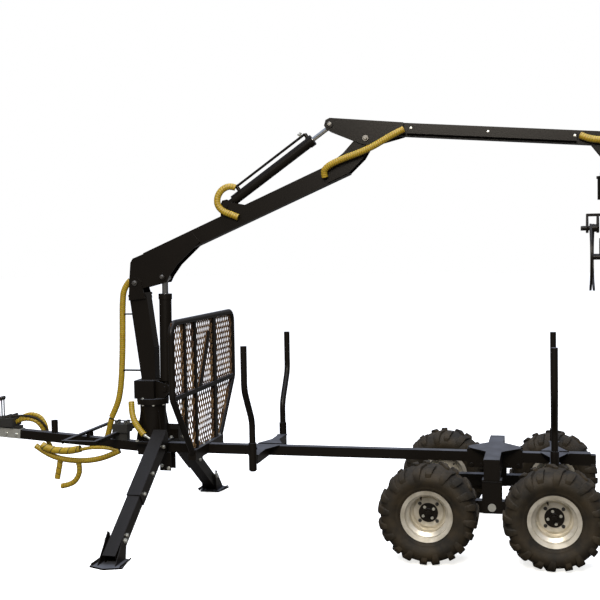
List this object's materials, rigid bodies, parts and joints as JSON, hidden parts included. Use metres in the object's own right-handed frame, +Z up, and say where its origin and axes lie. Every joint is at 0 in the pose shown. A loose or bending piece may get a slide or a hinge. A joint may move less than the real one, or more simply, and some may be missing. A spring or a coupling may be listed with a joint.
{
  "type": "forestry crane trailer",
  "caption": "Small timber trailer with bogie wheels, stake bunks, a headboard guard, stabiliser legs and a hydraulic loading crane with grapple.",
  "frame": {"origin": "centre of the bounding box in X, the trailer's middle plane in Y, and the ground in Z", "axes": "+X forward to the coupling, +Y to the trailer's left, +Z up"},
  "size_m": [4.184, 2.0788, 2.577],
  "materials": {
    "paint_black": "satin",
    "zinc": "satin",
    "steel": "satin",
    "chrome_rod": "polished",
    "rim_silver": "satin",
    "tyre_rubber": "matt",
    "hose_guard": "satin"
  },
  "bodies": {
    "chassis": {"main_beam": "paint_black", "drawbar": "paint_black", "rear_end": "paint_black", "coupling": "zinc", "axle_cross_beam": "paint_black", "bogie_beams": "paint_black", "bogie_pivots": "zinc", "bunks": "paint_black", "stakes": "paint_black", "guard_frame": "paint_black", "guard_mesh": "paint_black", "crane_base": "paint_black", "leg_sleeves": "paint_black", "valve_bank": "zinc", "manifold": "paint_black", "step_frame": "paint_black", "stub_tube": "paint_black", "hoses_drawbar": "hose_guard", "hose_tail_straight": "hose_guard", "hose_tail_curved": "hose_guard"},
    "wheel_front_left": {"tyre_front_left": "tyre_rubber", "rim_front_left": "rim_silver", "hub_front_left": "steel"},
    "wheel_front_right": {"tyre_front_right": "tyre_rubber", "rim_front_right": "rim_silver", "hub_front_right": "steel"},
    "wheel_rear_left": {"tyre_rear_left": "tyre_rubber", "rim_rear_left": "rim_silver", "hub_rear_left": "steel"},
    "wheel_rear_right": {"tyre_rear_right": "tyre_rubber", "rim_rear_right": "rim_silver", "hub_rear_right": "steel"},
    "leg_left": {"leg_left": "paint_black"},
    "leg_right": {"leg_right": "paint_black"},
    "column": {"slew_column": "paint_black", "mast": "paint_black", "boom_pin": "steel", "hose_column": "hose_guard"},
    "boom": {"boom_tube": "paint_black", "boom_foot": "paint_black", "boom_elbow": "paint_black", "cylinder_clevis": "paint_black", "elbow_pin": "steel", "hose_boom": "hose_guard", "hose_elbow": "hose_guard"},
    "lift_barrel": {"lift_barrel": "paint_black"},
    "lift_rod": {"lift_rod": "chrome_rod"},
    "arm": {"arm_tube": "paint_black", "arm_crank": "paint_black", "arm_hose_cover": "paint_black", "hose_arm_tip": "hose_guard"},
    "arm_barrel": {"arm_barrel": "paint_black"},
    "arm_rod": {"arm_rod": "chrome_rod"},
    "rotator": {"rotator": "steel"},
    "grapple_head": {"grapple_head": "paint_black"},
    "jaw_left": {"jaw_left": "paint_black"},
    "jaw_right": {"jaw_right": "paint_black"},
    "grapple_barrel": {"grapple_barrel": "paint_black"},
    "grapple_rod": {"grapple_rod": "chrome_rod"}
  },
  "joints": [
    {"name": "wheel_front_left_spin", "type": "hinge", "parent": "chassis", "child": "wheel_front_left", "pos_m": [-0.953, 0.54, 0.2795], "axis": [0, 1, 0], "continuous": true},
    {"name": "wheel_front_right_spin", "type": "hinge", "parent": "chassis", "child": "wheel_front_right", "pos_m": [-0.953, -0.54, 0.2795], "axis": [0, 1, 0], "continuous": true},
    {"name": "wheel_rear_left_spin", "type": "hinge", "parent": "chassis", "child": "wheel_rear_left", "pos_m": [-1.643, 0.54, 0.2795], "axis": [0, 1, 0], "continuous": true},
    {"name": "wheel_rear_right_spin", "type": "hinge", "parent": "chassis", "child": "wheel_rear_right", "pos_m": [-1.643, -0.54, 0.2795], "axis": [0, 1, 0], "continuous": true},
    {"name": "leg_left_slide", "type": "slide", "parent": "chassis", "child": "leg_left", "axis": [0, -0.829, 0.5592], "range_m": [0, 0.34]},
    {"name": "leg_right_slide", "type": "slide", "parent": "chassis", "child": "leg_right", "axis": [0, 0.829, 0.5592], "range_m": [0, 0.34]},
    {"name": "slew", "type": "hinge", "parent": "chassis", "child": "column", "pos_m": [0.904, 0, 0.8], "axis": [0, 0, 1], "range_deg": [-120, 120]},
    {"name": "boom_raise", "type": "hinge", "parent": "column", "child": "boom", "pos_m": [0.984, 0, 1.575], "axis": [0, 1, 0], "range_deg": [-16, 40]},
    {"name": "lift_barrel_swing", "type": "hinge", "parent": "column", "child": "lift_barrel", "pos_m": [0.808, 0, 0.882], "axis": [0, 1, 0], "range_deg": [-2.52, 4.8]},
    {"name": "lift_rod_slide", "type": "slide", "parent": "lift_barrel", "child": "lift_rod", "axis": [-0.011, 0, 0.9999], "range_m": [-0.052, 0.1239]},
    {"name": "arm_fold", "type": "hinge", "parent": "boom", "child": "arm", "pos_m": [-0.542, 0, 2.443], "axis": [0, -1, 0], "range_deg": [-20, 90]},
    {"name": "arm_barrel_swing", "type": "hinge", "parent": "boom", "child": "arm_barrel", "pos_m": [0.367, 0, 2.062], "axis": [0, 1, 0], "range_deg": [-1.9, 1.2]},
    {"name": "arm_rod_slide", "type": "slide", "parent": "arm_barrel", "child": "arm_rod", "axis": [-0.8225, 0, 0.5687], "range_m": [-0.0743, 0.3204]},
    {"name": "link_swing", "type": "hinge", "parent": "arm", "child": "rotator", "pos_m": [-1.95, 0, 2.3], "axis": [0, 1, 0], "range_deg": [-60, 110]},
    {"name": "rotator_spin", "type": "hinge", "parent": "rotator", "child": "grapple_head", "pos_m": [-1.95, 0, 2.05], "axis": [0, 0, 1], "continuous": true},
    {"name": "jaw_left_open", "type": "hinge", "parent": "grapple_head", "child": "jaw_left", "pos_m": [-1.95, 0.06, 1.868], "axis": [1, 0, 0], "range_deg": [0, 48]},
    {"name": "jaw_right_open", "type": "hinge", "parent": "grapple_head", "child": "jaw_right", "pos_m": [-1.95, -0.06, 1.868], "axis": [1, 0, 0], "range_deg": [-49, 1]},
    {"name": "grapple_barrel_swing", "type": "hinge", "parent": "jaw_left", "child": "grapple_barrel", "pos_m": [-1.95, 0.132, 1.788], "axis": [1, 0, 0], "range_deg": [-49, 1]},
    {"name": "grapple_rod_slide", "type": "slide", "parent": "grapple_barrel", "child": "grapple_rod", "axis": [0, -1, 0], "range_m": [-0.003, 0.0919]}
  ],
  "couplings": [
    {"joint": "lift_barrel_swing", "follows": "boom_raise", "ratio": 0.095},
    {"joint": "lift_rod_slide", "follows": "boom_raise", "m_per_rad": 0.17171},
    {"joint": "arm_barrel_swing", "follows": "arm_fold", "ratio": -0.01},
    {"joint": "arm_rod_slide", "follows": "arm_fold", "m_per_rad": 0.20141},
    {"joint": "jaw_right_open", "follows": "jaw_left_open", "ratio": -1},
    {"joint": "grapple_barrel_swing", "follows": "jaw_left_open", "ratio": -1},
    {"joint": "grapple_rod_slide", "follows": "jaw_left_open", "m_per_rad": 0.10491}
  ]
}
